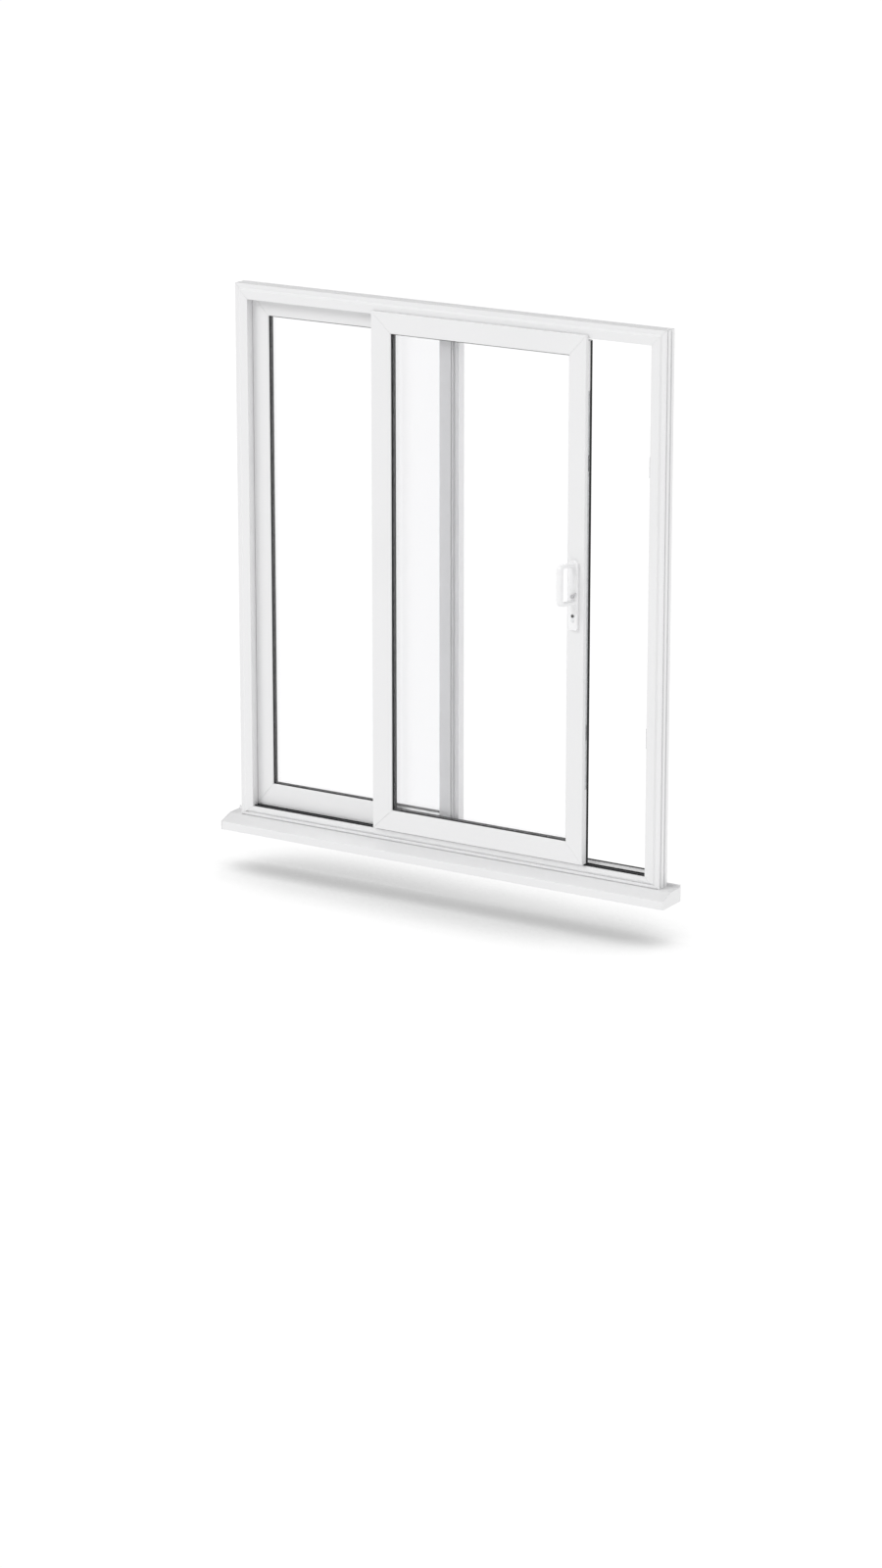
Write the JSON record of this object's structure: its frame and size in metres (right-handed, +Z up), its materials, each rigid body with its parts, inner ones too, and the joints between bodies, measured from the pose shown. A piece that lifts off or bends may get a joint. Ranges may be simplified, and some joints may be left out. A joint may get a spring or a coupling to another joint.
{
  "type": "sliding patio door",
  "caption": "Inline sliding patio door in white PVC-U: a fixed pane and a rolling sash with pull handles and a hook lock, in a frame on a projecting cill.",
  "frame": {"origin": "middle of the bounding box at the underside of the cill", "axes": "+Z up, +X along the width towards the opening side of the sliding sash, -Y towards the side with the projecting cill"},
  "size_m": [1.936, 0.186, 2.113],
  "materials": {
    "white_pvc": "smooth white PVC-U, low gloss",
    "trim_pvc": "white clip-in PVC-U trim",
    "black_rubber": "black EPDM seal and pile",
    "clear_glass": "clear float glass, faint green edge",
    "spacer_plastic": "black warm-edge spacer",
    "dark_aluminium": "dark anodised extrusion",
    "grey_aluminium": "mill-finish extrusion",
    "plated_steel": "zinc-plated steel",
    "polished_chrome": "polished plating",
    "roller_nylon": "natural nylon, moulded or as pile",
    "handle_white": "white powder-coated handle"
  },
  "bodies": {
    "outer_frame": {"cill": "white_pvc", "head": "white_pvc", "threshold": "white_pvc", "left_jamb": "white_pvc", "right_jamb": "white_pvc", "fixed_jamb_stile": "white_pvc", "fixed_meeting_stile": "white_pvc", "fixed_top_rail": "white_pvc", "fixed_bottom_rail": "white_pvc", "cill_end_cap_left": "trim_pvc", "cill_end_cap_right": "trim_pvc", "fixed_glazing_beads": "trim_pvc", "track_liner": "black_rubber", "threshold_rear_seal": "black_rubber", "travel_stop": "black_rubber", "fixed_front_gasket": "black_rubber", "fixed_rear_gasket": "black_rubber", "interlock_brush": "roller_nylon", "fixed_glass_front": "clear_glass", "fixed_glass_rear": "clear_glass", "fixed_spacer_bar": "spacer_plastic", "bottom_track_rail": "dark_aluminium", "head_guide_rail": "grey_aluminium", "fixed_interlock": "grey_aluminium", "lower_keep": "plated_steel", "upper_keep": "plated_steel"},
    "sliding_sash": {"sash_meeting_stile": "white_pvc", "sash_closing_stile": "white_pvc", "sash_top_rail": "white_pvc", "sash_bottom_rail": "white_pvc", "sash_glass_front": "clear_glass", "sash_glass_rear": "clear_glass", "sash_spacer_bar": "spacer_plastic", "sash_front_gasket": "black_rubber", "sash_glazing_beads": "trim_pvc", "sash_rear_gasket": "black_rubber", "sash_interlock": "grey_aluminium", "left_guide_block": "roller_nylon", "right_guide_block": "roller_nylon", "closing_seal": "black_rubber", "lock_faceplate": "plated_steel", "lock_case": "plated_steel", "front_backplate": "handle_white", "rear_backplate": "handle_white", "front_grip": "handle_white", "rear_grip": "handle_white", "cylinder_body": "polished_chrome", "lower_handle_screw": "plated_steel", "upper_handle_screw": "plated_steel", "left_roller_carriage": "plated_steel", "right_roller_carriage": "plated_steel"},
    "lock_levers": {"front_thumb_lever": "plated_steel", "rear_thumb_lever": "plated_steel", "lock_spindle": "plated_steel"},
    "lower_hook": {"lower_hook_bolt": "plated_steel"},
    "upper_hook": {"upper_hook_bolt": "plated_steel"},
    "key_plug": {"cylinder_plug": "polished_chrome"},
    "left_wheel": {"left_roller_wheel": "roller_nylon"},
    "right_wheel": {"right_roller_wheel": "roller_nylon"}
  },
  "joints": [
    {"name": "sash_slide", "type": "slide", "parent": "outer_frame", "child": "sliding_sash", "axis": [1, 0, 0], "range_m": [-0.46, 0.25]},
    {"name": "lock_turn", "type": "hinge", "parent": "sliding_sash", "child": "lock_levers", "pos_m": [0.562, 0, 1.113], "axis": [0, 1, 0], "range_deg": [0, 90]},
    {"name": "lower_hook_swing", "type": "hinge", "parent": "sliding_sash", "child": "lower_hook", "pos_m": [0.586, 0.002, 0.613], "axis": [0, -1, 0], "range_deg": [0, 90]},
    {"name": "upper_hook_swing", "type": "hinge", "parent": "sliding_sash", "child": "upper_hook", "pos_m": [0.586, 0.002, 1.613], "axis": [0, -1, 0], "range_deg": [0, 90]},
    {"name": "key_turn", "type": "hinge", "parent": "sliding_sash", "child": "key_plug", "pos_m": [0.562, 0, 1.04], "axis": [0, -1, 0], "range_deg": [-180, 180]},
    {"name": "left_wheel_roll", "type": "hinge", "parent": "sliding_sash", "child": "left_wheel", "pos_m": [-0.16, 0.01, 0.1123], "axis": [0, 1, 0], "range_deg": [-2100, 1150]},
    {"name": "right_wheel_roll", "type": "hinge", "parent": "sliding_sash", "child": "right_wheel", "pos_m": [0.46, 0.01, 0.1123], "axis": [0, 1, 0], "range_deg": [-2100, 1150]}
  ],
  "couplings": [
    {"joint": "lower_hook_swing", "follows": "lock_turn", "ratio": 1},
    {"joint": "upper_hook_swing", "follows": "lock_turn", "ratio": 1},
    {"joint": "left_wheel_roll", "follows": "sash_slide", "rad_per_m": 76.923},
    {"joint": "right_wheel_roll", "follows": "sash_slide", "rad_per_m": 76.923}
  ]
}
